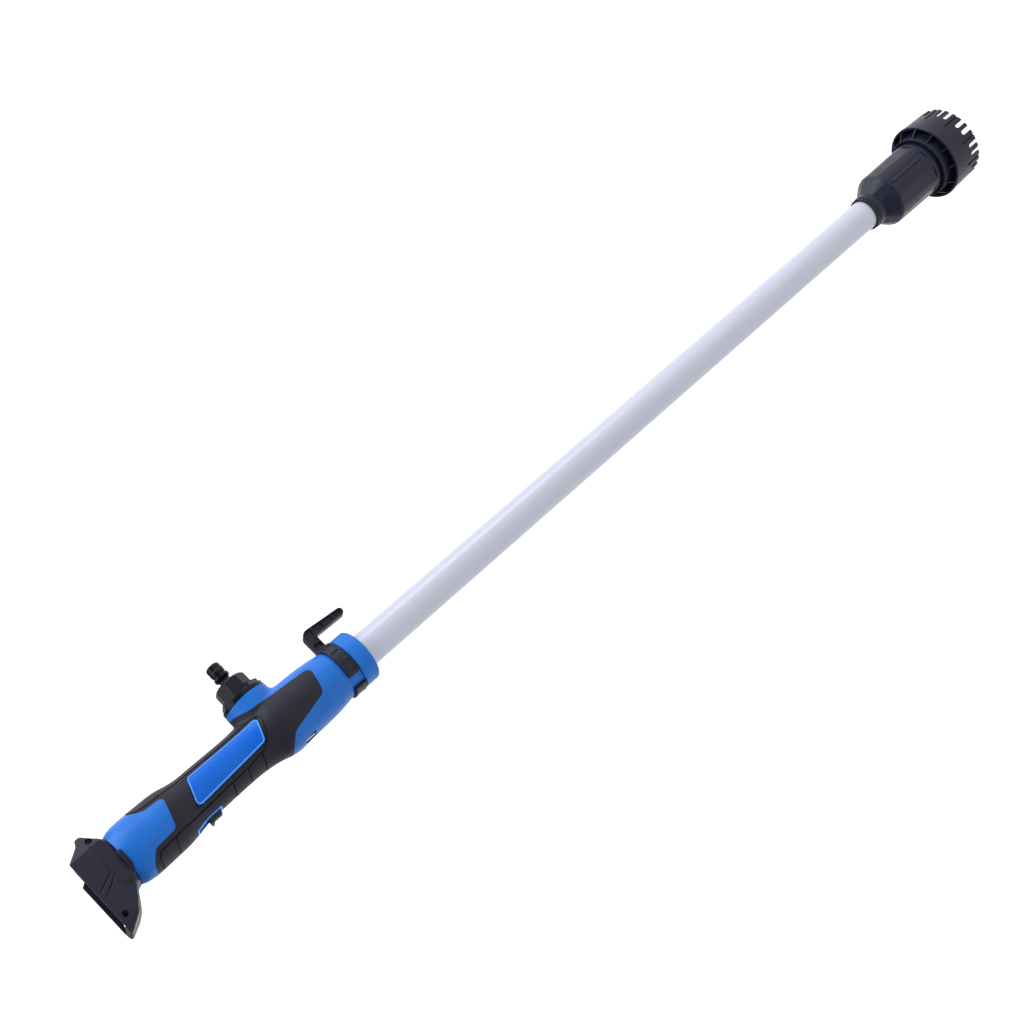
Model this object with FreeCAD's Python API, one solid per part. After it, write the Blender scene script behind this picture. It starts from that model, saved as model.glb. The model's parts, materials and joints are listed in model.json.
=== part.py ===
import FreeCAD, Part
import math
import os

# Cordless stick pump, standing upright on its strainer. Millimetres, +Z up.
# Origin: on the tube axis, in the plane that the strainer teeth and the suction foot stand on.
# +X points the way the hose outlet points. The slide switch is on the -X side.
# The handle, the side panels and the battery foot are mirrored halves that part at Y = 0.

V = FreeCAD.Vector
X_AXIS = V(1, 0, 0)
Y_AXIS = V(0, 1, 0)
Z_AXIS = V(0, 0, 1)

# ---------------------------------------------------------------- driving dimensions
TUBE_R = 17.5            # aluminium tube, outside
TUBE_WALL = 1.2
TUBE_BOTTOM_Z = 148.0    # hidden ends, inside the pump housing and the handle
TUBE_TOP_Z = 1024.0

RING_R = 46.8            # strainer ring, at its upper edge
RING_TIP_R = 44.8        # and at its tooth tips
RING_TOP_Z = 46.0
RING_WALL = 2.6
HUB_R = 37.6             # raised lip of the strainer's hub
HUB_TOP_Z = 58.0
TOOTH_PAIRS = 10
SLOT_DEPTH = 15.0
LONG_SLOT_DEPTH = 25.0
STRAINER_RIBS = 12

HOUSING_R = 33.0
HOUSING_FLAT_R = 32.0     # eight broad flats round the casing
HOUSING_BOTTOM_Z = 40.0
HOUSING_SHOULDER_Z = 131.0
HOUSING_NECK_Z = 150.0
HOUSING_NECK_R = 20.8
MOTOR_R = 18.0
MOTOR_BOTTOM_Z = 62.0
MOTOR_TOP_Z = 105.0
SHAFT_R = 1.6
IMPELLER_R = 24.0
RISER_X = 24.5           # riser hose beside the motor
HOSE_R = 4.5
HOSE_BORE_R = 3.2
CABLE_R = 2.6
CABLE_X = -9.0
HOSE_X = 6.0              # riser hose inside the tube
ELBOW_X = 18.0            # the outlet elbow's downward leg

COLLAR_R = 28.0
COLLAR_BOTTOM_Z = 968.0
COLLAR_TOP_Z = 986.0
NECK_R = 25.2
NECK_TOP_Z = 1001.0
HOOK_BAND_INNER_R = 25.5
HOOK_BAND_OUTER_R = 28.8
HOOK_BAND_BOTTOM_Z = 987.0
HOOK_BAND_TOP_Z = 1000.0
HOOK_GAP_START_DEG = 204.0   # the C is open here, measured from +X towards +Y
HOOK_GAP_END_DEG = 234.0

OUTLET_Z = 1081.5
BOSS_R = 24.6
BOSS_X = 37.6
FLANGE_R = 24.2
ADAPTER_R = 16.6
ADAPTER_BASE_X = 48.6
ADAPTER_TOP_X = 62.6
NIPPLE_TIP_X = 86.0
NIPPLE_R = 7.6
NIPPLE_BORE_R = 4.5

HANDLE_TOP_Z = 1264.0
SHELL_WALL = 2.8
OVERMOULD_T = 1.4
PANEL_PROUD = 0.9
SEAM = 0.15              # half gap where the two shells meet

SWITCH_LOW_Z = 1169.0
SWITCH_HIGH_Z = 1197.0
SWITCH_HALF_Y = 6.4
KNOB_LENGTH = 13.0

BOSS_FILLET = 5.0        # soft blend where the outlet boss leaves the grip
GROOVE_DEPTH = 1.0       # fine lines moulded into the grip
GROOVE_WIDTH = 1.2

FOOT_END_Z = 1302.0
FOOT_HALF_Y = 20.5       # the straight rim of the battery socket
FOOT_NECK_R = 26.6       # where the foot meets the handle
SOCKET_FLOOR_Z = 1281.0
FOOT_PLATE_Z = 1281.0     # lower edge of the plates that flank the socket
BLOCK_BOTTOM_Z = 1275.0
SOCKET_X0 = -42.0         # the socket is shorter at its floor than at its mouth
SOCKET_MOUTH_X0 = -49.0
SOCKET_STEP_Z = 1289.5
SOCKET_X1 = 14.0
SOCKET_HALF_Y = 17.0
RAIL_HALF_Y = 18.9
RIM_STEP_X = 13.0          # ahead of this the rim is lower, all but the near plate
RIM_STEP_Z = 1297.4

# Handle outline, (z, radius), from the hook groove to the battery foot.
HANDLE_PROFILE = [
    (NECK_TOP_Z, 26.0), (1010.0, 27.7), (1024.0, 29.3), (1043.0, 30.2), (1060.0, 30.9), (1072.0, 31.6),
    (1081.0, 30.8), (1092.0, 28.0), (1104.0, 25.7), (1118.0, 24.5), (1142.0, 24.4), (1170.0, 24.8),
    (1184.0, 25.3), (1194.0, 27.1), (1203.0, 29.0), (1222.0, 30.2), (1246.0, 30.6), (1257.0, 29.6),
    (HANDLE_TOP_Z, 27.0),
]

# Outlines in the side view: (x, z, corner radius).
OVERMOULD_OUTLINE = [
    (44, 1112, 0), (31.5, 1105.5, 5), (23.4, 1092, 30), (17, 1021.5, 5), (-11, 1029.5, 7), (-20.8, 1073.5, 9),
    (-44, 1098, 0), (-44, 1248.5, 0), (-27, 1248.3, 6), (-17.2, 1239, 8), (-15.6, 1213.5, 5),
    (14.4, 1204, 3.5), (15.6, 1225, 12), (25, 1236.5, 6), (44, 1238.5, 0),
]
PANEL_OUTLINE = [(13.7, 1091.5, 3.5), (14.2, 1176, 4), (-14.2, 1187, 4), (-9, 1100.5, 4)]
FOOT_OUTLINE = [
    (24.3, FOOT_END_Z, 0.8), (34.5, 1287, 4), (40.6, 1284, 2.5), (40.6, 1278.6, 3),
    (27.2, 1269.6, 3), (26.6, 1258, 0), (-26.6, 1258, 0), (-26.4, 1268.5, 3), (-45.5, 1280, 9),
    (-58.5, FOOT_END_Z, 2),
]
# The foot seen along Z: (x, y, corner radius).
FOOT_PLAN = [(-58.5, -FOOT_HALF_Y, 16), (24, -FOOT_HALF_Y, 5), (43, -9.5, 6), (43, 9.5, 6),
             (24, FOOT_HALF_Y, 5), (-58.5, FOOT_HALF_Y, 16)]

# Fine grooves in the grip, in the side view: a long line that runs round the panel, and cross lines.
GRIP_LINE = [
    (36, 1237), (26, 1235), (20.5, 1229.5), (18.6, 1217), (17.3, 1150), (16.9, 1096), (15, 1090.2),
    (9.5, 1088.6),
    (0, 1093), (-9.7, 1099.2), (-13.7, 1107), (-15.8, 1125), (-17.2, 1167), (-19.2, 1198), (-20.6, 1220),
    (-21.5, 1236), (-25, 1240.5), (-36, 1242.5),
]
CROSS_LINES = [
    [(-14.6, 1110), (-34, 1114)], [(-16, 1128.5), (-34, 1132)], [(-16.8, 1147.5), (-34, 1151)],
    [(-20.6, 1219), (-36, 1223.5)],
]
FOOT_LINES = [[(-5.5, 1281.5), (-13, 1298)], [(-9.8, 1279.6), (-20, 1297.2)]]
FOOT_CREASE = [(-14.5, 1286.5), (-55, 1288.2)]


# ---------------------------------------------------------------- helpers
def save(name, shape):
    """Write one node's STEP and print its volume and solid count."""
    if shape.ShapeType == "Compound" and len(shape.Solids) == 1:
        shape = shape.Solids[0]
    shape.exportStep("parts/" + name + ".step")
    print(f"{name:24s} solids {len(shape.Solids)}  volume {shape.Volume:10.1f}  valid {shape.isValid()}")


def tube_z(outer, inner, bottom, top, x=0.0, y=0.0):
    """A ring or sleeve standing on Z."""
    body = Part.makeCylinder(outer, top - bottom, V(x, y, bottom))
    if inner > 0:
        body = body.cut(Part.makeCylinder(inner, top - bottom + 2, V(x, y, bottom - 1)))
    return body


def turned(points, along_x=False):
    """Revolve an outline of (position along the axis, radius) corners into a solid."""
    if along_x:
        corners = [V(a, 0, OUTLET_Z + r) for a, r in points]
        centre, axis = V(0, 0, OUTLET_Z), X_AXIS
    else:
        corners = [V(r, 0, a) for a, r in points]
        centre, axis = V(0, 0, 0), Z_AXIS
    face = Part.Face(Part.makePolygon(corners + corners[:1]))
    return face.revolve(centre, axis, 360)


def box(x0, x1, y0, y1, z0, z1):
    return Part.makeBox(x1 - x0, y1 - y0, z1 - z0, V(x0, y0, z0))


def rounded_face(outline, y=0.0):
    """A planar XZ face from corners (x, z, radius), each corner rounded by a tangent arc."""
    edges = []
    count = len(outline)
    starts = []
    ends = []
    for i, (x, z, r) in enumerate(outline):
        here = V(x, y, z)
        before = V(outline[i - 1][0], y, outline[i - 1][1])
        after = V(outline[(i + 1) % count][0], y, outline[(i + 1) % count][1])
        if r == 0:
            starts.append(here)
            ends.append(here)
            continue
        to_before = (before - here).normalize()
        to_after = (after - here).normalize()
        half = to_before.getAngle(to_after) / 2
        reach = r / math.tan(half)
        first = here + to_before * reach
        last = here + to_after * reach
        bisector = (to_before + to_after).normalize()
        middle = here + bisector * (r / math.sin(half) - r)
        starts.append(first)
        ends.append(last)
        edges.append((i, Part.Arc(first, middle, last).toShape()))
    arcs = dict(edges)
    path = []
    for i in range(count):
        if i in arcs:
            path.append(arcs[i])
        path.append(Part.LineSegment(ends[i], starts[(i + 1) % count]).toShape())
    return Part.Face(Part.Wire(path))


def side_lines(points, width, y0, y1):
    """A line through (x, z) points in the side view, as wide as asked, pushed through Y."""
    depth = y1 - y0
    strokes = []
    for (x0, z0), (x1, z1) in zip(points, points[1:]):
        length = math.hypot(x1 - x0, z1 - z0)
        stroke = Part.makeBox(length, depth, width, V(0, 0, -width / 2))
        stroke.rotate(V(0, 0, 0), Y_AXIS, -math.degrees(math.atan2(z1 - z0, x1 - x0)))
        stroke.translate(V(x0, y0, z0))
        strokes.append(stroke)
    for x, z in points:
        strokes.append(Part.makeCylinder(width / 2, depth, V(x, y0, z), Y_AXIS))
    return strokes[0].fuse(strokes[1:])


def side_prism(outline, y0, y1):
    """The side-view outline pushed through Y from y0 to y1."""
    return rounded_face(outline, y0).extrude(V(0, y1 - y0, 0))


def mirror_y(shape):
    return shape.mirror(V(0, 0, 0), Y_AXIS)


def bent_pipe(points, radius, bore, ratio=0.45):
    """A pipe along straight runs joined by tangent arcs, as large as each pair of runs allows."""
    edges = []
    start = points[0]
    for i in range(1, len(points) - 1):
        here = points[i]
        back = points[i - 1] - here
        ahead = points[i + 1] - here
        turn = math.pi - back.getAngle(ahead)
        reach = ratio * min(back.Length, ahead.Length)
        bend = reach / math.tan(turn / 2)
        back.normalize()
        ahead.normalize()
        first = here + back * reach
        last = here + ahead * reach
        bisector = (back + ahead).normalize()
        middle = here + bisector * (bend / math.cos(turn / 2) - bend)
        print(f"  bend radius {bend:.1f}")
        edges.append(Part.LineSegment(start, first).toShape())
        edges.append(Part.Arc(first, middle, last).toShape())
        start = last
    edges.append(Part.LineSegment(start, points[-1]).toShape())
    path = Part.Wire(edges)
    normal = (points[1] - points[0]).normalize()

    def swept(r):
        circle = Part.Wire(Part.makeCircle(r, points[0], normal))
        return path.makePipeShell([circle], True, False)

    pipe = swept(radius)
    print(f"  pipe volume {pipe.Volume:.0f}, section times length {math.pi * radius ** 2 * path.Length:.0f}")
    if bore > 0:
        pipe = pipe.cut(swept(bore))
    return pipe


# ---------------------------------------------------------------- handle
def handle_form(offset=0.0):
    """The handle's outer form, moved inwards by offset: a turned grip with the outlet boss blended in."""
    points = [V(r - offset, 0, z) for z, r in HANDLE_PROFILE]
    curve = Part.BSplineCurve()
    curve.interpolate(points)
    top = points[-1]
    bottom = points[0]
    outline = Part.Wire([
        curve.toShape(),
        Part.LineSegment(top, V(0, 0, top.z)).toShape(),
        Part.LineSegment(V(0, 0, top.z), V(0, 0, bottom.z)).toShape(),
        Part.LineSegment(V(0, 0, bottom.z), bottom).toShape(),
    ])
    grip = Part.Face(outline).revolve(V(0, 0, 0), Z_AXIS, 360)
    boss = Part.makeCylinder(BOSS_R - offset, BOSS_X - offset, V(0, 0, OUTLET_Z), X_AXIS)
    form = grip.fuse(boss).removeSplitter()
    root = [e for e in form.Edges if on_boss_root(e, offset)]
    return form.makeFillet(BOSS_FILLET + offset, root)


def on_boss_root(edge, offset):
    """Whether an edge is where the outlet boss meets the turned grip."""
    middle = edge.valueAt((edge.FirstParameter + edge.LastParameter) / 2)
    from_boss_axis = math.hypot(middle.y, middle.z - OUTLET_Z)
    on_boss = abs(from_boss_axis - (BOSS_R - offset)) < 0.05
    return on_boss and 5.0 < middle.x < BOSS_X - offset - 0.5 and edge.Length > 5.0


def handle_shells():
    """Two hollow half shells with the neck that the hook clips round, screw bosses and trim pockets."""
    outer = handle_form()
    neck = tube_z(NECK_R, 0, COLLAR_TOP_Z + 0.3, NECK_TOP_Z + 1)
    spigot = tube_z(23.0, 0, 972.0, COLLAR_TOP_Z + 0.3)
    body = outer.fuse([neck, spigot]).removeSplitter()
    cavity = handle_form(SHELL_WALL)
    cavity = cavity.common(box(-60, 60, -60, 60, 1046, 1256))
    tube_seat = tube_z(TUBE_R + 0.05, 0, 960, TUBE_TOP_Z + 0.1)
    throat = tube_z(23.2, 0, TUBE_TOP_Z, 1047)
    lead_hole = tube_z(6.0, 0, 1255, 1270, x=-4)
    outlet_hole = Part.makeCylinder(13.6, 40, V(20, 0, OUTLET_Z), X_AXIS)
    body = body.cut([cavity, tube_seat, throat, lead_hole, outlet_hole])
    skin = outer.cut(handle_form(OVERMOULD_T))
    trim = skin.common(side_prism(OVERMOULD_OUTLINE, -60, 60))
    body = body.cut(trim)
    body = body.cut(switch_pocket(0.0))
    body = body.cut(eye_pocket())
    body = body.cut(lanyard_pin())
    bosses = [Part.makeCylinder(4.6, 60, V(x, -30, z), Y_AXIS) for x, z in HANDLE_SCREWS]
    inside = handle_form(OVERMOULD_T + 0.6)
    body = body.fuse([boss.common(inside) for boss in bosses]).removeSplitter()
    body = body.cut(handle_screw_holes())
    left = body.common(box(-80, 80, -80, -SEAM, 900, 1400))
    right = body.common(box(-80, 80, SEAM, 80, 900, 1400))
    return left, right


def switch_pocket(margin):
    return box(-40, -18.5, -SWITCH_HALF_Y + margin, SWITCH_HALF_Y - margin,
               SWITCH_LOW_Z + margin, SWITCH_HIGH_Z - margin)


EYE_HALF_Y = 9.5


def eye_pocket():
    """The lanyard eye: a slot across the -X side that the pin bridges."""
    return box(-40, -24.6, -EYE_HALF_Y, EYE_HALF_Y, 1055.0, 1068.0)


HANDLE_SCREWS = [(-19.0, 1042.0), (17.0, 1124.0), (8.0, 1240.0)]
SCREW_REACH = 11.0        # from the parting plane, both ways


def handle_screw_holes():
    """Blind pilot holes in the near shell, and wells for the heads in the far one."""
    holes = []
    for x, z in HANDLE_SCREWS:
        holes.append(Part.makeCylinder(2.0, 2 * SCREW_REACH + 0.5, V(x, -SCREW_REACH - 0.3, z), Y_AXIS))
        holes.append(Part.makeCylinder(3.6, 40, V(x, SCREW_REACH - 2.5, z), Y_AXIS))
    return holes[0].fuse(holes[1:])


def handle_screws():
    """Three screws from the far half into the near one, with their heads sunk in the far shell."""
    screws = []
    for x, z in HANDLE_SCREWS:
        head = Part.makeCylinder(3.4, 2.4, V(x, SCREW_REACH - 2.4, z), Y_AXIS)
        recess = Part.makeCylinder(1.4, 1.4, V(x, SCREW_REACH - 1.3, z), Y_AXIS)
        shank = Part.makeCylinder(1.9, 2 * SCREW_REACH - 2.4, V(x, -SCREW_REACH, z), Y_AXIS)
        screws.append(head.cut(recess).fuse(shank))
    return Part.makeCompound(screws)


def grip_overmould():
    """The soft black grip of the near half, flush with the shell, with fine grooves and a panel pocket."""
    skin = handle_form().cut(handle_form(OVERMOULD_T))
    grip = skin.common(side_prism(OVERMOULD_OUTLINE, -60, -SEAM))
    grip = grip.cut(side_prism(PANEL_OUTLINE, -60, -5))
    grip = grip.cut(switch_pocket(-2.2))
    grooved_layer = handle_form().cut(handle_form(GROOVE_DEPTH))
    panel_edge = [(x, z) for x, z, r in PANEL_OUTLINE]
    for line in [GRIP_LINE] + CROSS_LINES + [panel_edge + panel_edge[:1]]:
        grip = grip.cut(side_lines(line, GROOVE_WIDTH, -60, -1).common(grooved_layer))
    return grip


def side_panel():
    proud = handle_form(-PANEL_PROUD).cut(handle_form(OVERMOULD_T))
    return proud.common(side_prism(PANEL_OUTLINE, -60, -5))


def switch_bezel():
    outer = switch_pocket(-2.2).cut(switch_pocket(0.0).fuse(switch_pocket(0.4)))
    proud = handle_form(-0.5).cut(handle_form(OVERMOULD_T))
    return proud.common(outer).common(box(-60, -10, -20, 20, 1150, 1215))


def slide_knob():
    """The ribbed thumb slider at the pump end of its slot, with the stem that moves the switch."""
    low = SWITCH_LOW_Z + 1.2
    high = low + KNOB_LENGTH
    pad = box(-28.6, -21.6, -SWITCH_HALF_Y + 0.6, SWITCH_HALF_Y - 0.6, low, high)
    crest = pad.common(Part.makeCylinder(28.6, 40, V(0, 0, low - 5), Z_AXIS))
    for i in range(5):
        z = low + 1.8 + i * 2.2
        crest = crest.cut(box(-30, -27.4, -8, 8, z, z + 1.0))
    tab = box(-30.4, -26.0, -SWITCH_HALF_Y + 1.2, SWITCH_HALF_Y - 1.2, high - 2.2, high)
    stem = box(-21.7, -17.2, -2.0, 2.0, low + 4, high - 4)
    return crest.fuse([tab, stem]).removeSplitter()


def switch_module():
    body = box(-17.6, -8.0, -6.0, 6.0, SWITCH_LOW_Z - 1, SWITCH_HIGH_Z + 1)
    slot = box(-17.7, -15.6, -2.6, 2.6, SWITCH_LOW_Z + 3, SWITCH_HIGH_Z - 3)
    return body.cut(slot)


def front_collar():
    """The collar that clamps the tube in the handle's nose, its front edge well rounded."""
    ring = tube_z(COLLAR_R, 23.3, COLLAR_BOTTOM_Z, COLLAR_TOP_Z)
    nose = tube_z(COLLAR_R, TUBE_R + 0.1, COLLAR_BOTTOM_Z, 971.7)
    ring = ring.fuse(nose).removeSplitter()
    rims = [e for e in ring.Edges if abs(e.BoundBox.ZMax - COLLAR_BOTTOM_Z) < 0.01
            and e.BoundBox.XMax > COLLAR_R - 0.5]
    ring = ring.makeFillet(3.4, rims)
    back = [e for e in ring.Edges if abs(e.BoundBox.ZMin - COLLAR_TOP_Z) < 0.01
            and e.BoundBox.XMax > COLLAR_R - 0.5]
    return ring.makeFillet(1.0, back)


def lanyard_pin():
    return Part.makeCylinder(1.5, 17.0, V(-28.2, 0, 1053.0), Z_AXIS)


# ---------------------------------------------------------------- hook
HOOK_ARM_OUTLINE = [
    (26.6, 987.6, 0), (41.8, 987.6, 3.5), (40.9, 950.2, 3.6), (48.6, 949.6, 3.6), (53.4, 999.4, 8.0),
    (26.6, 999.4, 0),
]

HOOK_POCKET_OUTLINE = [
    (30.0, 989.0, 0), (43.3, 989.0, 2.5), (42.5, 951.9, 2.2), (47.2, 951.4, 2.2), (51.8, 998.0, 6.5),
    (30.0, 998.0, 0),
]


def clip_hook():
    """A C-shaped clip round the neck with an L-shaped arm, pocketed on both faces."""
    ring = tube_z(HOOK_BAND_OUTER_R, HOOK_BAND_INNER_R, HOOK_BAND_BOTTOM_Z, HOOK_BAND_TOP_Z)
    wedge = Part.makeCylinder(60, 40, V(0, 0, 975), Z_AXIS, HOOK_GAP_END_DEG - HOOK_GAP_START_DEG)
    wedge.rotate(V(0, 0, 0), Z_AXIS, HOOK_GAP_START_DEG)
    band = ring.cut(wedge)
    pocket_step = 30.0
    for i in range(10):
        start = HOOK_GAP_END_DEG + 6 + i * pocket_step
        pocket = tube_z(40, HOOK_BAND_OUTER_R - 1.3, HOOK_BAND_BOTTOM_Z + 1.8, HOOK_BAND_TOP_Z - 1.8)
        sector = Part.makeCylinder(60, 40, V(0, 0, 975), Z_AXIS, pocket_step - 4.0)
        sector.rotate(V(0, 0, 0), Z_AXIS, start)
        band = band.cut(pocket.common(sector))
    arm = side_prism(HOOK_ARM_OUTLINE, -5.0, 5.0)
    arm = arm.makeFillet(0.8, [e for e in arm.Edges if e.BoundBox.XMin > 28.0])
    ribs = [box(35.0, 36.2, -6, 6, 980, 1010), box(38, 60, -6, 6, 986.4, 987.6),
            box(38, 60, -6, 6, 974.4, 975.4), box(38, 60, -6, 6, 962.4, 963.4)]
    for y0, y1 in ((-6.0, -1.6), (1.6, 6.0)):
        pocket = side_prism(HOOK_POCKET_OUTLINE, y0, y1)
        for rib in ribs:
            pocket = pocket.cut(rib)
        arm = arm.cut(pocket)
    return band.fuse(arm)


# ---------------------------------------------------------------- outlet
def outlet_flange():
    """The ring nut on the outlet boss: a plain lower disc under an eight-sided upper ring."""
    disc = turned([(BOSS_X + 0.1, 13.3), (BOSS_X + 0.1, 23.4), (BOSS_X + 0.9, FLANGE_R), (42.4, FLANGE_R),
                   (43.0, FLANGE_R - 0.7), (43.0, 13.3)], along_x=True)
    upper = polygon_prism(8, 22.4, 43.0, 47.4).cut(Part.makeCylinder(13.3, 10, V(42, 0, OUTLET_Z), X_AXIS))
    return disc.fuse(upper).removeSplitter()


def polygon_prism(sides, across_corner_r, x0, x1):
    """A regular prism along +X round the outlet axis."""
    corners = []
    for i in range(sides):
        a = 2 * math.pi * (i + 0.5) / sides
        corners.append(V(x0, across_corner_r * math.cos(a), OUTLET_Z + across_corner_r * math.sin(a)))
    face = Part.Face(Part.makePolygon(corners + corners[:1]))
    return face.extrude(V(x1 - x0, 0, 0))


def hose_adapter():
    """Eight-sided screw-on cap and quick-connect nipple in one moulding."""
    cap = polygon_prism(8, ADAPTER_R + 1.0, ADAPTER_BASE_X, ADAPTER_TOP_X)
    chamfer = turned([(ADAPTER_BASE_X - 1, 0), (ADAPTER_BASE_X - 1, 16.2), (ADAPTER_BASE_X + 0.6, 17.8),
                      (ADAPTER_TOP_X - 2.6, 17.8), (ADAPTER_TOP_X, 15.2), (ADAPTER_TOP_X, 0)], along_x=True)
    cap = cap.common(chamfer)
    stem = turned([
        (ADAPTER_TOP_X - 1, 0), (ADAPTER_TOP_X - 1, 9.0),
        (ADAPTER_TOP_X + 0.8, 8.6), (ADAPTER_TOP_X + 1.2, 5.9),
        (67.4, 5.9), (68.4, 6.6), (70.2, 8.4), (72.6, 8.4), (72.9, 6.4), (74.6, 6.4), (75.0, 7.6),
        (77.4, 7.6), (77.4, 5.9), (79.6, 5.9), (79.6, 7.6), (84.6, NIPPLE_R), (NIPPLE_TIP_X, 6.4),
        (NIPPLE_TIP_X, 0),
    ], along_x=True)
    bore = Part.makeCylinder(NIPPLE_BORE_R, 60, V(50, 0, OUTLET_Z), X_AXIS)
    thread = Part.makeCylinder(13.1, 11.4, V(ADAPTER_BASE_X - 1, 0, OUTLET_Z), X_AXIS)
    return cap.fuse(stem).cut([bore, thread])


def nipple_o_ring():
    ring = Part.makeTorus(6.9, 1.0, V(78.5, 0, OUTLET_Z), X_AXIS)
    return ring


def adapter_washer():
    disc = Part.makeCylinder(12.8, 1.6, V(57.3, 0, OUTLET_Z), X_AXIS)
    return disc.cut(Part.makeCylinder(7.0, 4, V(56, 0, OUTLET_Z), X_AXIS))


def outlet_elbow():
    """The threaded stub through the boss and the elbow behind it, down to the riser hose's barb."""
    stub = Part.makeCylinder(12.9, 24.0, V(33.2, 0, OUTLET_Z), X_AXIS)
    neck = Part.makeCylinder(9.5, 16.0, V(ELBOW_X, 0, OUTLET_Z), X_AXIS)
    ball = Part.makeSphere(9.5, V(ELBOW_X, 0, OUTLET_Z))
    down = Part.makeCylinder(9.5, 12.0, V(ELBOW_X, 0, OUTLET_Z - 12.0), Z_AXIS)
    barb = Part.makeCylinder(HOSE_BORE_R - 0.05, 6.0, V(ELBOW_X, 0, OUTLET_Z - 18.0), Z_AXIS)
    solid = stub.fuse([neck, ball, down, barb])
    bore_out = Part.makeCylinder(7.0, 60.0, V(ELBOW_X, 0, OUTLET_Z), X_AXIS)
    bore_ball = Part.makeSphere(7.0, V(ELBOW_X, 0, OUTLET_Z))
    bore_down = Part.makeCylinder(2.4, 50.0, V(ELBOW_X, 0, OUTLET_Z - 50.0), Z_AXIS)
    return solid.cut([bore_out, bore_ball, bore_down])


# ---------------------------------------------------------------- battery foot
def foot_form():
    """Outer form of the battery foot: a round neck that flares into a long, round-ended socket."""
    form = side_prism(FOOT_OUTLINE, -60, 60)
    neck = FOOT_NECK_R
    half = FOOT_HALF_Y
    front = [
        (-neck, 1258.0, 0), (-neck, 1265.0, 3),
        (2.0 - half, FOOT_PLATE_Z - 1.5, 3), (-half, FOOT_PLATE_Z, 0.4),
        (-half, 1320.0, 0), (half, 1320.0, 0), (half, FOOT_PLATE_Z, 0.4), (half - 2.0, FOOT_PLATE_Z - 1.5, 3),
        (neck, 1265.0, 3), (neck, 1258.0, 0),
    ]
    front_form = rounded_face(front).extrude(V(0, 160, 0))
    front_form.rotate(V(0, 0, 0), Z_AXIS, 90)
    front_form.translate(V(80, 0, 0))
    flare = turned([(HANDLE_TOP_Z + 0.2, 0), (HANDLE_TOP_Z + 0.2, neck), (FOOT_END_Z + 3, neck + 49.0),
                    (FOOT_END_Z + 3, 0)])
    return form.common(front_form).common(flare).common(plan_prism(FOOT_PLAN, 1250, 1320))


def plan_prism(outline, z0, z1):
    """The outline seen along Z pushed from z0 to z1."""
    prism = rounded_face(outline).extrude(V(0, z1 - z0, 0))
    prism.rotate(V(0, 0, 0), X_AXIS, 90)
    prism.translate(V(0, 0, z0))
    return prism


def foot_tab():
    """The tab of the foot that laps over the end of the handle's near shell."""
    ring = turned([(1261.0, 26.0), (1261.0, 29.5), (1267.0, 28.0), (1267.0, 26.0)])
    outline = [(4, 1266, 0), (3.4, 1262, 1.5), (-13, 1261.5, 4), (-23.5, 1266, 0)]
    tab = ring.common(side_prism(outline, -60, -5))
    return tab.cut(handle_form(-SEAM))


def rim_step():
    """What the rim loses ahead of the socket: all but the near plate is lower there."""
    outline = [
        (RIM_STEP_X - 3, 1320, 0), (RIM_STEP_X - 3, FOOT_END_Z, 0), (RIM_STEP_X, RIM_STEP_Z, 1),
        (60, RIM_STEP_Z, 0), (60, 1320, 0),
    ]
    return side_prism(outline, -SOCKET_HALF_Y, 60)


def foot_half():
    """The near half of the foot: a deep battery socket with a rail groove along each side."""
    form = foot_form().fuse(foot_tab())
    socket = box(SOCKET_X0, SOCKET_X1, -SOCKET_HALF_Y, SOCKET_HALF_Y, SOCKET_FLOOR_Z, 1320.0)
    mouth = box(SOCKET_MOUTH_X0, SOCKET_X1, -SOCKET_HALF_Y, SOCKET_HALF_Y, SOCKET_STEP_Z, 1320.0)
    groove = box(SOCKET_X0, SOCKET_X1, -RAIL_HALF_Y, RAIL_HALF_Y, SOCKET_FLOOR_Z + 4.0, SOCKET_FLOOR_Z + 12.0)
    well = box(-30.0, 12.0, -14.0, 14.0, BLOCK_BOTTOM_Z - 0.3, SOCKET_FLOOR_Z + 1)
    lead_hole = tube_z(6.0, 0, 1255, 1277, x=-4)
    side_hole = Part.makeCylinder(3.0, 90, V(-42.0, -45, 1295.0), Y_AXIS)
    form = form.cut([socket, mouth, groove, well, lead_hole, side_hole, foot_screw_holes()])
    for line in FOOT_LINES:
        form = form.cut(side_lines(line, 1.3, -40, -FOOT_HALF_Y + 1.2))
    form = form.cut(side_lines(FOOT_CREASE, 0.7, -40, -FOOT_HALF_Y + 0.4))
    return form.common(box(-80, 80, -80, -SEAM, 1200, 1400))


FOOT_SCREWS = [(-23.5, 1272.5, -18.0), (30.0, 1276.0, -10.0)]   # x, z and the depth of the seat


def foot_screw_holes():
    holes = []
    for x, z, seat in FOOT_SCREWS:
        holes.append(Part.makeCylinder(2.0, 90, V(x, -45, z), Y_AXIS))
        holes.append(Part.makeCylinder(3.1, 45 + seat, V(x, -45, z), Y_AXIS))
    return holes[0].fuse(holes[1:])


def foot_screws():
    """Screws that hold the foot's halves, with heads sunk in the near side's round wells."""
    screws = []
    for x, z, seat in FOOT_SCREWS:
        head = Part.makeCylinder(2.9, 2.0, V(x, seat - 2.1, z), Y_AXIS)
        shank = Part.makeCylinder(1.6, 16.0, V(x, seat - 0.2, z), Y_AXIS)
        recess = Part.makeCylinder(1.3, 1.2, V(x, seat - 2.2, z), Y_AXIS)
        screws.append(head.fuse(shank).removeSplitter().cut(recess))
    return Part.makeCompound(screws)


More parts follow.
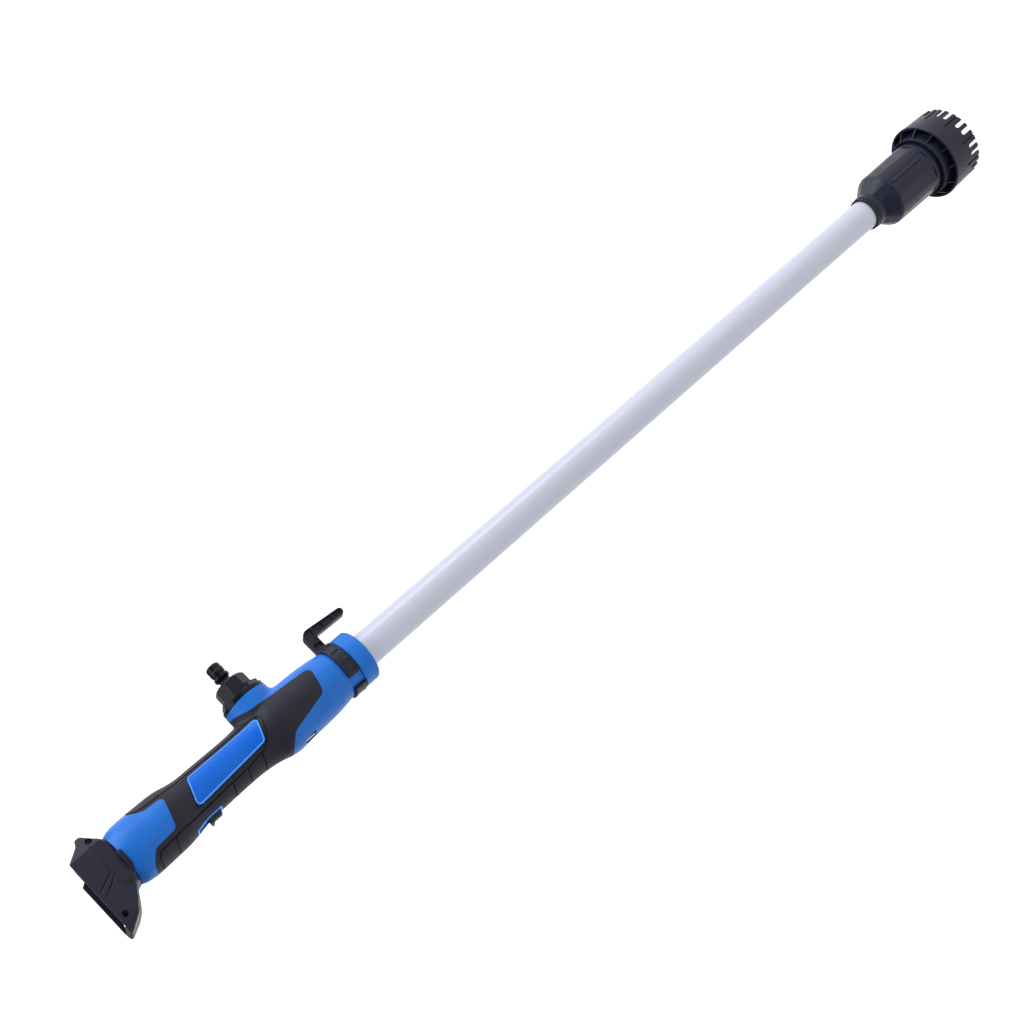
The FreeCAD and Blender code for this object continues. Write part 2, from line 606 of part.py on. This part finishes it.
def terminal_block():
    block = box(-29.5, 11.5, -13.5, 13.5, BLOCK_BOTTOM_Z, SOCKET_FLOOR_Z + 1.0)
    tower = box(-2.0, 11.5, -13.5, 13.5, SOCKET_FLOOR_Z + 1.0, SOCKET_FLOOR_Z + 7.0)
    block = block.fuse(tower).removeSplitter()
    for y in BLADE_Y:
        block = block.cut(box(-1.0, 9.0, y - 0.4, y + 0.4, BLOCK_BOTTOM_Z + 1.5, 1300.0))
    return block


BLADE_Y = [-10.5, -3.5, 3.5, 10.5]
BLADE_TOP_Z = 1296.0


def terminal_blades():
    blades = [box(-1.0, 9.0, y - 0.4, y + 0.4, BLOCK_BOTTOM_Z + 1.5, BLADE_TOP_Z) for y in BLADE_Y]
    return Part.makeCompound(blades)


# ---------------------------------------------------------------- tube and inner lines
def tube_bush(bottom, top):
    """A soft bush that centres the hose and the cable in the tube's end."""
    body = tube_z(TUBE_R - TUBE_WALL - 0.05, 0, bottom, top)
    hose = tube_z(HOSE_R + 0.05, 0, bottom - 1, top + 1, x=HOSE_X)
    cable = tube_z(CABLE_R + 0.05, 0, bottom - 1, top + 1, x=CABLE_X)
    return body.cut([hose, cable])


def riser_hose():
    """Water line from the volute, beside the motor, into the tube and up to the outlet elbow."""
    points = [V(RISER_X, 0, 58.0), V(RISER_X, 0, MOTOR_TOP_Z), V(HOSE_X, 0, 162.0), V(HOSE_X, 0, 1018.0),
              V(ELBOW_X, 0, 1044.0), V(ELBOW_X, 0, OUTLET_Z - 12.0)]
    return bent_pipe(points, HOSE_R, HOSE_BORE_R)


def motor_cable():
    return Part.makeCylinder(CABLE_R, 1160.0 - MOTOR_TOP_Z, V(CABLE_X, 0, MOTOR_TOP_Z), Z_AXIS)


# ---------------------------------------------------------------- pump head
def pump_housing():
    """Turned black casing with a faceted shoulder and one moulding rib on each flat side."""
    form = turned([
        (HOUSING_BOTTOM_Z, 0), (HOUSING_BOTTOM_Z, HOUSING_R), (HUB_TOP_Z, HOUSING_R + 0.3),
        (HOUSING_SHOULDER_Z, HOUSING_R - 0.5), (HOUSING_SHOULDER_Z + 3, HOUSING_R - 1.8),
        (HOUSING_NECK_Z, HOUSING_NECK_R), (158.0, 20.4), (158.0, 0),
    ])
    low = regular_face(8, 45.0, HOUSING_SHOULDER_Z - 12)
    high = regular_face(8, 21.4, HOUSING_NECK_Z)
    facets = Part.makeLoft([low, high], True)
    above = box(-60, 60, -60, 60, HOUSING_SHOULDER_Z - 12, HOUSING_NECK_Z)
    shoulder = form.common(above).common(facets)
    rest_low = form.common(box(-60, 60, -60, 60, 0, HOUSING_SHOULDER_Z - 12))
    rest_high = form.common(box(-60, 60, -60, 60, HOUSING_NECK_Z, 170))
    flats = regular_face(8, HOUSING_FLAT_R / math.cos(math.pi / 8), 0)
    flats = Part.Face(flats).extrude(V(0, 0, 200))
    rest_low = rest_low.common(flats).fuse(rest_low.common(box(-60, 60, -60, 60, 0, HUB_TOP_Z + 8)))
    form = rest_low.fuse([shoulder.common(flats), rest_high]).removeSplitter()
    for side in (-1, 1):
        rib = Part.makeCylinder(1.8, 52.0, V(0, side * (HOUSING_R - 0.6), 74.0), Z_AXIS)
        form = form.fuse([rib, Part.makeSphere(1.8, V(0, side * (HOUSING_R - 0.6), 126.0))])
    chamber = turned([(HOUSING_BOTTOM_Z - 1, 0), (HOUSING_BOTTOM_Z - 1, 30.4), (126.0, 30.4),
                      (TUBE_BOTTOM_Z - 2.0, 17.0), (TUBE_BOTTOM_Z, 16.4), (TUBE_BOTTOM_Z, 0)])
    tube_seat = tube_z(TUBE_R + 0.05, 0, TUBE_BOTTOM_Z, 170)
    return form.cut([chamber, tube_seat])


def regular_face(sides, corner_r, z):
    corners = []
    for i in range(sides):
        a = 2 * math.pi * (i + 0.5) / sides
        corners.append(V(corner_r * math.cos(a), corner_r * math.sin(a), z))
    return Part.makePolygon(corners + corners[:1])


def motor_can():
    can = tube_z(MOTOR_R, MOTOR_R - 1.0, MOTOR_BOTTOM_Z, MOTOR_TOP_Z)
    caps = tube_z(MOTOR_R, 5.05, MOTOR_BOTTOM_Z, MOTOR_BOTTOM_Z + 3)
    roof = tube_z(MOTOR_R, 5.05, MOTOR_TOP_Z - 3, MOTOR_TOP_Z)
    return can.fuse([caps, roof]).removeSplitter()


def motor_magnets():
    ring = tube_z(MOTOR_R - 1.05, 13.2, MOTOR_BOTTOM_Z + 8, MOTOR_TOP_Z - 12)
    cut = box(-5, 5, -40, 40, 0, 200)
    return ring.cut(cut)


def armature():
    core = tube_z(12.6, SHAFT_R, MOTOR_BOTTOM_Z + 8, MOTOR_TOP_Z - 14)
    for i in range(5):
        a = math.radians(72 * i)
        slot = box(6.0, 20.0, -0.9, 0.9, MOTOR_BOTTOM_Z, MOTOR_TOP_Z)
        slot.rotate(V(0, 0, 0), Z_AXIS, math.degrees(a))
        core = core.cut(slot)
    commutator = tube_z(5.0, SHAFT_R, MOTOR_TOP_Z - 12, MOTOR_TOP_Z - 5)
    neck = tube_z(3.0, SHAFT_R, MOTOR_TOP_Z - 14, MOTOR_TOP_Z - 12)
    return core.fuse([commutator, neck]).removeSplitter()


def bearing(bottom):
    return tube_z(5.0, SHAFT_R + 0.05, bottom, bottom + 3)


def motor_carrier():
    """Plate that carries the motor above the volute and seals the shaft, with the riser's port."""
    plate = tube_z(30.2, 0, 54.0, 58.0)
    rim = tube_z(22.0, MOTOR_R + 0.1, 58.0, 68.0).common(box(-40, 12.0, -40, 40, 50, 80))
    ledge = tube_z(MOTOR_R - 1.0, 8.0, 58.0, MOTOR_BOTTOM_Z)
    seal_hole = tube_z(4.5, 0, 50, 60)
    port = tube_z(HOSE_BORE_R, 0, 50, 60, x=RISER_X)
    return plate.fuse([rim, ledge]).cut([seal_hole, port])


def impeller():
    """Closed hub disc with six backward-curved vanes."""
    disc = tube_z(IMPELLER_R, SHAFT_R, 48.0, 50.0)
    hub = tube_z(5.0, SHAFT_R, 42.0, 48.0)
    vane = tube_z(16.0, 14.6, 41.0, 48.0, x=12.5)
    vane = vane.common(tube_z(IMPELLER_R - 0.2, 4.8, 40, 49)).common(box(0, 40, 0, 40, 40, 49))
    vanes = []
    for i in range(6):
        v = vane.copy()
        v.rotate(V(0, 0, 0), Z_AXIS, 60 * i)
        vanes.append(v)
    return disc.fuse([hub] + vanes).removeSplitter()


def volute_casing():
    """Cup round the impeller, open at the suction eye, with the passage to the riser port."""
    cup = tube_z(30.0, 25.2, 38.0, 53.8)
    floor = tube_z(30.0, 12.0, 36.0, 39.6)
    notch = box(20, 29, -4, 4, 48, 53.8)
    return cup.fuse(floor).cut(notch).removeSplitter().cut(pump_screw_holes())


def suction_cover():
    """The foot inside the strainer: a skirt with four windows under a plate with the suction eye."""
    plate = tube_z(30.0, 11.0, 31.0, 35.8).cut(pump_screw_holes())
    skirt = tube_z(28.0, 24.6, 0.0, 31.0)
    foot_ring = tube_z(28.0, 20.0, 0.0, 3.0)
    for i in range(4):
        window = box(15, 40, -8, 8, 8, 24)
        window.rotate(V(0, 0, 0), Z_AXIS, 45 + 90 * i)
        skirt = skirt.cut(window)
    return plate.fuse([skirt, foot_ring]).removeSplitter()


def strainer_ring():
    """Castellated ring: a tapered wall with alternate wide and narrow teeth, hung on radial ribs."""
    wall = turned([
        (0.0, RING_TIP_R - RING_WALL), (0.0, RING_TIP_R), (RING_TOP_Z - 4, RING_R - 0.4),
        (RING_TOP_Z - 3.2, RING_R), (RING_TOP_Z - 0.6, RING_R), (RING_TOP_Z, RING_R - 0.6),
        (RING_TOP_Z, RING_R - RING_WALL),
    ])
    pitch = 360.0 / TOOTH_PAIRS
    cutters = []
    for i in range(TOOTH_PAIRS):
        for shift, width, depth in ((0.0, 5.6, SLOT_DEPTH), (13.2, 5.0, SLOT_DEPTH)):
            slot = box(30, 60, -width / 2, width / 2, -1, depth - width / 2)
            end = Part.makeCylinder(width / 2, 30, V(30, 0, depth - width / 2), X_AXIS)
            slot = slot.fuse(end)
            slot.rotate(V(0, 0, 0), Z_AXIS, i * pitch + shift)
            cutters.append(slot)
        groove = box(RING_TIP_R - 1.2, 60, -1.3, 1.3, -1, LONG_SLOT_DEPTH)
        groove.rotate(V(0, 0, 0), Z_AXIS, i * pitch + 24.6)
        cutters.append(groove)
    wall = wall.cut(cutters)
    hub = tube_z(HUB_R, HOUSING_R + 2.2, 30.0, HUB_TOP_Z)
    lip = tube_z(HUB_R, HOUSING_R + 0.6, 30.0, 40.0)
    ribs = []
    for i in range(STRAINER_RIBS):
        rib = rib_blade()
        rib.rotate(V(0, 0, 0), Z_AXIS, 360.0 / STRAINER_RIBS * (i + 0.35))
        ribs.append(rib)
    floor = tube_z(RING_R - 1.5, HUB_R - 0.5, 26.0, 29.0)
    inner = tube_z(HUB_R, 30.4, 26.0, 30.0)
    return wall.fuse([hub, lip, inner, floor] + ribs).removeSplitter()


def rib_blade():
    """One radial rib, its top edge sloping from the hub lip down to the ring."""
    corners = [V(HUB_R - 1, -0.6, 27), V(RING_R - 1.6, -0.6, 27), V(RING_R - 1.6, -0.6, RING_TOP_Z - 1),
               V(HUB_R - 1, -0.6, HUB_TOP_Z - 1)]
    return Part.Face(Part.makePolygon(corners + corners[:1])).extrude(V(0, 1.2, 0))


PUMP_SCREW_PLACES = [(20.5 * math.cos(math.radians(a)), 20.5 * math.sin(math.radians(a)))
                     for a in (45, 135, 225, 315)]


def pump_screw_holes():
    holes = [tube_z(1.55, 0, 25.0, 39.5, x, y) for x, y in PUMP_SCREW_PLACES]
    return holes[0].fuse(holes[1:])


def pump_screws():
    """Four screws up through the suction cover into the volute casing's floor."""
    screws = []
    for x, y in PUMP_SCREW_PLACES:
        head = tube_z(2.8, 0, 28.9, 30.9, x, y).cut(tube_z(1.2, 0, 28.0, 30.0, x, y))
        screws.append(head.fuse(tube_z(1.5, 0, 30.9, 39.4, x, y)))
    return Part.makeCompound(screws)


def tube_end_ring():
    """The serrated ring that locks the tube in the pump housing."""
    ring = tube_z(19.9, TUBE_R + 0.05, 158.1, 163.0)
    for i in range(24):
        notch = box(18.9, 22.0, -0.8, 0.8, 159.4, 164.0)
        notch.rotate(V(0, 0, 0), Z_AXIS, i * 15.0)
        ring = ring.cut(notch)
    return ring


# ---------------------------------------------------------------- build
def main():
    os.makedirs("parts", exist_ok=True)
    left, right = handle_shells()
    save("handle_shell_left", left)
    save("handle_shell_right", right)
    for name, maker in (("grip_overmould", grip_overmould), ("side_panel", side_panel)):
        half = maker()
        save(name + "_left", half)
        save(name + "_right", mirror_y(half).cut(handle_screw_holes()))
    save("front_collar", front_collar())
    save("handle_screws", handle_screws())
    save("lanyard_pin", lanyard_pin())
    save("switch_bezel", switch_bezel())
    save("slide_switch_knob", slide_knob())
    save("switch_module", switch_module())
    save("control_board", box(-8.0, -6.2, -14.0, 14.0, 1204.0, 1244.0))
    save("clip_hook", clip_hook())
    save("outlet_elbow", outlet_elbow())
    save("outlet_flange", outlet_flange())
    save("hose_adapter", hose_adapter())
    save("adapter_washer", adapter_washer())
    save("nipple_o_ring", nipple_o_ring())
    foot = foot_half()
    save("battery_foot_left", foot.cut(rim_step()))
    save("battery_foot_right", mirror_y(foot).cut(rim_step()))
    save("foot_screws", foot_screws())
    save("terminal_block", terminal_block())
    save("terminal_blades", terminal_blades())
    save("battery_lead", Part.makeCylinder(CABLE_R, 29.2, V(-4.0, 0, 1245.5), Z_AXIS))
    save("aluminium_tube", tube_z(TUBE_R, TUBE_R - TUBE_WALL, TUBE_BOTTOM_Z, TUBE_TOP_Z))
    save("tube_end_ring", tube_end_ring())
    save("lower_tube_bush", tube_bush(196.0, 208.0))
    save("upper_tube_bush", tube_bush(992.0, 1004.0))
    save("riser_hose", riser_hose())
    save("motor_cable", motor_cable())
    save("pump_housing", pump_housing())
    save("motor_can", motor_can())
    save("motor_magnets", motor_magnets())
    save("armature", armature())
    save("motor_shaft", Part.makeCylinder(SHAFT_R, MOTOR_TOP_Z + 2 - 41.0, V(0, 0, 41.0), Z_AXIS))
    save("bearing_lower", bearing(MOTOR_BOTTOM_Z))
    save("bearing_upper", bearing(MOTOR_TOP_Z - 3))
    save("shaft_seal", tube_z(4.45, SHAFT_R + 0.05, 54.0, 58.0))
    save("motor_carrier", motor_carrier())
    save("impeller", impeller())
    save("volute_casing", volute_casing())
    save("suction_cover", suction_cover())
    save("pump_screws", pump_screws())
    save("strainer_ring", strainer_ring())


main()
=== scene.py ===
import json
import math

import bmesh
import bpy
from mathutils import Matrix, Vector
from mathutils.bvhtree import BVHTree


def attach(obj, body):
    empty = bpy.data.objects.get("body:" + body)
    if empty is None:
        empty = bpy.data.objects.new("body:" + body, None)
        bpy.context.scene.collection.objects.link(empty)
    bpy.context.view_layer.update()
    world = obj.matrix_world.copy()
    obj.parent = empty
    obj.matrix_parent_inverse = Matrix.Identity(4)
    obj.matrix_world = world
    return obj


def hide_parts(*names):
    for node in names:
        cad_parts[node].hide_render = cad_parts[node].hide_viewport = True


MM = 0.001

# The camera: where it looks, from how far, at what angles.
VIEW_AZIMUTH = math.radians(14.0)
VIEW_ELEVATION = math.radians(24.9)
VIEW_ROLL = math.radians(130.96)
VIEW_DISTANCE = 1.8263
VIEW_TARGET = Vector((0.0074, -0.0019, 0.7479))
LENS_MM = 63.28

# The stage: a floor that gives off some light of its own, and lamps that stand on it.
KEY_TINT = (0.90, 0.94, 1.0)
FLOOR_RADIUS = 60.0
FLOOR_GAP = 0.0004
FLOOR_GLOW = 0.95
SURROUND_STRENGTH = 0.46
LAMP_FOOT_GAP = 0.01

# Moulded parts with softened edges: mesh size in metres and rounds of smoothing.
FOOT_VOXEL = 0.00045
FOOT_ROUNDS = 5
HOOK_VOXEL = 0.0004
HOOK_ROUNDS = 4

# Starting distances, in metres from the parting plane, for finding a side panel's face.
OUTSIDE_PANEL = 0.1
NEAR_PANEL = 0.025

# The side panel in the side view: (x, z, corner radius) in millimetres, and its bevelled rim's section
# as (distance in from the edge, height over the panel's face).
PANEL_CORNERS = [(13.7, 1091.5, 3.5), (14.2, 1176.0, 4.0), (-14.2, 1187.0, 4.0), (-9.0, 1100.5, 4.0)]
PANEL_RIM_SECTION = [(0.12, -0.30), (0.12, 0.02), (0.55, 0.22), (1.45, 0.04), (1.45, -0.30)]
CORNER_STEPS = 8
EDGE_STEP_MM = 2.5


def new_object(name, mesh, body, replaced=()):
    """A piece that rides on a body, takes a material slot and stands for CAD nodes."""
    piece = bpy.data.objects.new(name, mesh)
    bpy.context.scene.collection.objects.link(piece)
    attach(piece, body)
    if replaced:
        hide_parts(*replaced)
    return piece


# ---------------------------------------------------------------- materials

def noise(tree, coords, scale, detail, stretch=None):
    """A noise texture in the object's own metres, stretched along an axis if asked."""
    texture = tree.nodes.new("ShaderNodeTexNoise")
    texture.inputs["Scale"].default_value = scale
    texture.inputs["Detail"].default_value = detail
    source = coords.outputs["Object"]
    if stretch:
        mapping = tree.nodes.new("ShaderNodeMapping")
        mapping.inputs["Scale"].default_value = stretch
        tree.links.new(source, mapping.inputs["Vector"])
        source = mapping.outputs["Vector"]
    tree.links.new(source, texture.inputs["Vector"])
    return texture.outputs["Fac"]


def surface(name, light, dark, rough, metallic=0.0, grain=2200.0, relief=0.00003, patch=45.0,
            stretch=None, specular=0.5):
    """A procedural finish: two near colours mixed by a broad noise, uneven roughness, fine relief."""
    material = bpy.data.materials.new(name)
    material.use_nodes = True
    tree = material.node_tree
    shader = tree.nodes["Principled BSDF"]
    coords = tree.nodes.new("ShaderNodeTexCoord")

    ramp = tree.nodes.new("ShaderNodeValToRGB")
    ramp.color_ramp.elements[0].position = 0.3
    ramp.color_ramp.elements[0].color = (*dark, 1.0)
    ramp.color_ramp.elements[1].position = 0.7
    ramp.color_ramp.elements[1].color = (*light, 1.0)
    tree.links.new(noise(tree, coords, patch, 4.0, stretch), ramp.inputs["Fac"])
    tree.links.new(ramp.outputs["Color"], shader.inputs["Base Color"])

    spread = tree.nodes.new("ShaderNodeMapRange")
    spread.inputs["From Min"].default_value = 0.3
    spread.inputs["From Max"].default_value = 0.7
    spread.inputs["To Min"].default_value = rough[0]
    spread.inputs["To Max"].default_value = rough[1]
    tree.links.new(noise(tree, coords, patch * 3.0, 3.0, stretch), spread.inputs["Value"])
    tree.links.new(spread.outputs["Result"], shader.inputs["Roughness"])

    bump = tree.nodes.new("ShaderNodeBump")
    bump.inputs["Strength"].default_value = 0.5
    bump.inputs["Distance"].default_value = relief
    tree.links.new(noise(tree, coords, grain, 2.0, stretch), bump.inputs["Height"])
    tree.links.new(bump.outputs["Normal"], shader.inputs["Normal"])

    shader.inputs["Metallic"].default_value = metallic
    shader.inputs["Specular IOR Level"].default_value = specular
    return material


def make_materials():
    """One finish for each material slot of the record."""
    plastic = {"grain": 1800.0, "relief": 0.00004}
    return {
        "blue_plastic": surface("blue_plastic", (0.0045, 0.107, 0.415), (0.0035, 0.094, 0.372),
                                (0.32, 0.42), specular=0.20),
        "blue_panel": surface("blue_panel", (0.0008, 0.090, 0.440), (0.0006, 0.080, 0.400),
                              (0.24, 0.32), specular=0.14),
        # blue_bezel is a lighter blue than blue_panel: a painted highlight for the panel rim's bevel.
        "blue_bezel": surface("blue_bezel", (0.045, 0.240, 0.690), (0.038, 0.215, 0.630), (0.28, 0.36),
                              specular=0.3),
        "grip_rubber": surface("grip_rubber", (0.0095, 0.0085, 0.0165), (0.0072, 0.0065, 0.0130),
                               (0.46, 0.58), specular=0.20, grain=1500.0, relief=0.00007),
        "black_plastic": surface("black_plastic", (0.0085, 0.0085, 0.0190), (0.0065, 0.0065, 0.0150),
                                 (0.36, 0.46), specular=0.22, **plastic),
        "pump_plastic": surface("pump_plastic", (0.0075, 0.0080, 0.0205), (0.0058, 0.0062, 0.0160),
                                (0.32, 0.42), specular=0.20, **plastic),
        "gloss_black": surface("gloss_black", (0.0030, 0.0034, 0.0085), (0.0024, 0.0027, 0.0070),
                               (0.10, 0.16), specular=0.16),
        "aluminium": surface("aluminium", (0.385, 0.395, 0.460), (0.362, 0.372, 0.435), (0.30, 0.38),
                             metallic=0.30, patch=60.0, stretch=(1.0, 1.0, 0.03), grain=900.0,
                             relief=0.00001),
        "zinc_steel": surface("zinc_steel", (0.34, 0.34, 0.34), (0.27, 0.27, 0.27), (0.24, 0.36),
                              metallic=1.0),
        "black_oxide": surface("black_oxide", (0.010, 0.010, 0.012), (0.007, 0.007, 0.008),
                               (0.30, 0.42), metallic=0.6),
        "copper": surface("copper", (0.72, 0.36, 0.20), (0.60, 0.28, 0.15), (0.25, 0.40), metallic=1.0),
        "ferrite": surface("ferrite", (0.050, 0.048, 0.046), (0.036, 0.034, 0.033), (0.55, 0.70)),
        "seal_rubber": surface("seal_rubber", (0.012, 0.012, 0.013), (0.009, 0.009, 0.010),
                               (0.45, 0.60), specular=0.3),
        "hose_pvc": surface("hose_pvc", (0.42, 0.46, 0.47), (0.36, 0.40, 0.41), (0.25, 0.40)),
        "cable_black": surface("cable_black", (0.015, 0.015, 0.017), (0.012, 0.012, 0.013),
                               (0.45, 0.60)),
        "board_green": surface("board_green", (0.020, 0.130, 0.050), (0.016, 0.100, 0.040),
                               (0.35, 0.50)),
        "impeller_plastic": surface("impeller_plastic", (0.50, 0.50, 0.48), (0.44, 0.44, 0.42),
                                    (0.35, 0.50)),
    }


def finish_cad_nodes(frame, materials):
    """Gives every CAD node the finish of its material slot."""
    for part in frame["record"]["subparts"]:
        mesh = frame["nodes"][part["node"]].data
        mesh.materials.clear()
        mesh.materials.append(materials[part["material_slot"]])


# ---------------------------------------------------------------- pieces

def softened(frame, node, body, material, voxel, rounds):
    """A moulded part with its sharp edges worn soft: an even fine mesh of the CAD node, relaxed a little."""
    rough = bpy.data.objects.new(node + "_rough", frame["nodes"][node].data.copy())
    bpy.context.scene.collection.objects.link(rough)
    remesh = rough.modifiers.new("even", "REMESH")
    remesh.mode = "VOXEL"
    remesh.voxel_size = voxel
    relax = rough.modifiers.new("relax", "SMOOTH")
    relax.factor = 0.5
    relax.iterations = rounds
    bpy.context.view_layer.update()
    graph = bpy.context.evaluated_depsgraph_get()
    mesh = bpy.data.meshes.new_from_object(rough.evaluated_get(graph))
    bpy.data.objects.remove(rough)
    for face in mesh.polygons:
        face.use_smooth = True
    mesh.materials.clear()
    mesh.materials.append(material)
    return new_object(node + "_moulded", mesh, body, [node])


def rounded_outline(corners):
    """Points round a closed outline of (x, z, radius) corners, evenly spaced along its straight runs."""
    points = []
    count = len(corners)
    for i, (x, z, radius) in enumerate(corners):
        here = Vector((x, z))
        before = Vector(corners[i - 1][:2])
        after = Vector(corners[(i + 1) % count][:2])
        to_before = (before - here).normalized()
        to_after = (after - here).normalized()
        half = to_before.angle(to_after) / 2
        centre = here + (to_before + to_after).normalized() * (radius / math.sin(half))
        first = here + to_before * (radius / math.tan(half)) - centre
        last = here + to_after * (radius / math.tan(half)) - centre
        for k in range(CORNER_STEPS + 1):
            points.append(centre + first.lerp(last, k / CORNER_STEPS).normalized() * radius)
    even = []
    for i, point in enumerate(points):
        following = points[(i + 1) % len(points)]
        pieces = max(1, round((following - point).length / EDGE_STEP_MM))
        even += [point.lerp(following, k / pieces) for k in range(pieces)]
    return even


def inset(points, distance):
    """The same closed outline, each point moved inwards by a distance."""
    middle = sum(points, Vector((0.0, 0.0))) / len(points)
    moved = []
    for i, point in enumerate(points):
        along = (points[(i + 1) % len(points)] - points[i - 1]).normalized()
        across = Vector((-along.y, along.x))
        if across.dot(middle - point) < 0:
            across = -across
        moved.append(point + across * distance)
    return moved


def panel_rim(frame, side, material):
    """The bevelled rim that runs round a side panel, lying on the panel's curved face, in a paler blue that
    is a painted highlight.
    """
    hand = "left" if side < 0 else "right"
    graph = bpy.context.evaluated_depsgraph_get()
    face = BVHTree.FromObject(frame["nodes"]["side_panel_" + hand], graph)
    outline = rounded_outline(PANEL_CORNERS)
    rings = []
    for distance, height in PANEL_RIM_SECTION:
        ring = []
        for flat in inset(outline, distance):
            start = Vector((flat.x * MM, side * OUTSIDE_PANEL, flat.y * MM))
            hit, normal, _, _ = face.ray_cast(start, Vector((0.0, -side, 0.0)))
            if hit is None:
                hit, normal, _, _ = face.find_nearest(Vector((start.x, side * NEAR_PANEL, start.z)))
            ring.append(hit + normal * height * MM)
        rings.append(ring)
    mesh = bpy.data.meshes.new("panel_rim")
    body = bmesh.new()
    loops = [[body.verts.new(point) for point in ring] for ring in rings]
    count = len(outline)
    for i, loop in enumerate(loops):
        following = loops[(i + 1) % len(loops)]
        for k in range(count):
            face_corners = (loop[k], loop[(k + 1) % count], following[(k + 1) % count], following[k])
            body.faces.new(face_corners).smooth = True
    bmesh.ops.recalc_face_normals(body, faces=body.faces)
    body.to_mesh(mesh)
    body.free()
    mesh.materials.append(material)
    return new_object("panel_rim_" + hand, mesh, "frame")


def make_pieces(frame, materials):
    """The pieces that Blender adds to the CAD frame, or shows in place of its nodes."""
    for side in (-1, 1):
        # The rim's paler blue finish is a painted highlight on its bevel.
        panel_rim(frame, side, materials["blue_bezel"])
    for node in ("battery_foot_left", "battery_foot_right"):
        softened(frame, node, "frame", materials["black_plastic"], FOOT_VOXEL, FOOT_ROUNDS)
    softened(frame, "clip_hook", "hook", materials["black_plastic"], HOOK_VOXEL, HOOK_ROUNDS)


# ---------------------------------------------------------------- stage

def sun(name, azimuth, elevation, spread, strength, colour=(1.0, 1.0, 1.0)):
    """A very wide, even light from far off, as from a large soft box. Azimuth is from +X towards +Y."""
    lamp = bpy.data.lights.new(name, "SUN")
    lamp.angle = math.radians(spread)
    lamp.energy = strength
    lamp.color = colour
    holder = bpy.data.objects.new(name, lamp)
    bpy.context.scene.collection.objects.link(holder)
    flat = math.cos(math.radians(elevation))
    source = Vector((flat * math.cos(math.radians(azimuth)), flat * math.sin(math.radians(azimuth)),
                     math.sin(math.radians(elevation))))
    holder.rotation_euler = source.to_track_quat("Z", "Y").to_euler()
    return holder


def strip_light(name, azimuth, distance, width, height, watts, colour=(1.0, 1.0, 1.0)):
    """A tall soft box that stands on the floor and faces the object's long axis."""
    lamp = bpy.data.lights.new(name, "AREA")
    lamp.shape = "RECTANGLE"
    lamp.size = width
    lamp.size_y = height
    lamp.energy = watts
    lamp.color = colour
    holder = bpy.data.objects.new(name, lamp)
    bpy.context.scene.collection.objects.link(holder)
    outward = Vector((math.cos(math.radians(azimuth)), math.sin(math.radians(azimuth)), 0.0))
    holder.location = outward * distance + Vector((0.0, 0.0, height / 2 + LAMP_FOOT_GAP))
    holder.rotation_euler = outward.to_track_quat("Z", "Y").to_euler()
    holder.visible_camera = False
    return holder


def make_floor():
    """A plain white floor under the object, wide enough to fill the picture, lit a little from below."""
    mesh = bpy.data.meshes.new("floor")
    corners = [(-1, -1), (1, -1), (1, 1), (-1, 1)]
    mesh.from_pydata([(FLOOR_RADIUS * x, FLOOR_RADIUS * y, -FLOOR_GAP) for x, y in corners], [],
                     [(0, 1, 2, 3)])
    table = surface("floor_white", (0.32, 0.32, 0.32), (0.30, 0.30, 0.30), (0.75, 0.85),
                    grain=300.0, patch=8.0)
    shader = table.node_tree.nodes["Principled BSDF"]
    shader.inputs["Emission Color"].default_value = (1.0, 1.0, 1.0, 1.0)
    shader.inputs["Emission Strength"].default_value = FLOOR_GLOW
    mesh.materials.append(table)
    floor = bpy.data.objects.new("floor", mesh)
    bpy.context.scene.collection.objects.link(floor)


def make_lights():
    """A white surround, a wide key light on the outlet side with a tall strip beside it, and a top light."""
    scene = bpy.context.scene
    scene.world = bpy.data.worlds.new("studio")
    scene.world.use_nodes = True
    backdrop = scene.world.node_tree.nodes["Background"]
    backdrop.inputs["Color"].default_value = (0.95, 0.96, 1.0, 1.0)
    backdrop.inputs["Strength"].default_value = SURROUND_STRENGTH
    sun("key", -22.0, 24.0, 62.0, 3.6, KEY_TINT)
    sun("top", -120.0, 76.0, 60.0, 1.7)
    strip_light("streak", -30.0, 1.1, 0.30, 1.5, 3.2, KEY_TINT)
    scene.view_settings.view_transform = "Standard"


def make_camera():
    """The camera at the photographed object's viewing angle, turned about its own line of sight."""
    forward = Vector((math.sin(VIEW_AZIMUTH) * math.cos(VIEW_ELEVATION),
                      math.cos(VIEW_AZIMUTH) * math.cos(VIEW_ELEVATION),
                      -math.sin(VIEW_ELEVATION)))
    level_right = forward.cross(Vector((0.0, 0.0, 1.0))).normalized()
    level_up = level_right.cross(forward)
    up = math.cos(VIEW_ROLL) * level_up + math.sin(VIEW_ROLL) * level_right
    right = forward.cross(up)
    lens = bpy.data.cameras.new("camera")
    lens.lens = LENS_MM
    lens.clip_end = 200.0
    camera = bpy.data.objects.new("camera", lens)
    bpy.context.scene.collection.objects.link(camera)
    camera.matrix_world = Matrix.Translation(VIEW_TARGET - VIEW_DISTANCE * forward) @ Matrix(
        (right, up, -forward)).transposed().to_4x4()
    bpy.context.scene.camera = camera


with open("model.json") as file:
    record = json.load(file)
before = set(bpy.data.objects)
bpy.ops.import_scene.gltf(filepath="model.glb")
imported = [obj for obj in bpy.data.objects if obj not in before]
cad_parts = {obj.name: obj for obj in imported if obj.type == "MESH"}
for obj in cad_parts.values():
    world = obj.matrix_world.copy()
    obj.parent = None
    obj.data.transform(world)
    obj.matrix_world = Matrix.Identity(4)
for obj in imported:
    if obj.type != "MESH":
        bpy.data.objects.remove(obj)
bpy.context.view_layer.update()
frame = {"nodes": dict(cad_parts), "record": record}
materials = make_materials()
finish_cad_nodes(frame, materials)
make_pieces(frame, materials)
make_camera()
make_lights()
make_floor()
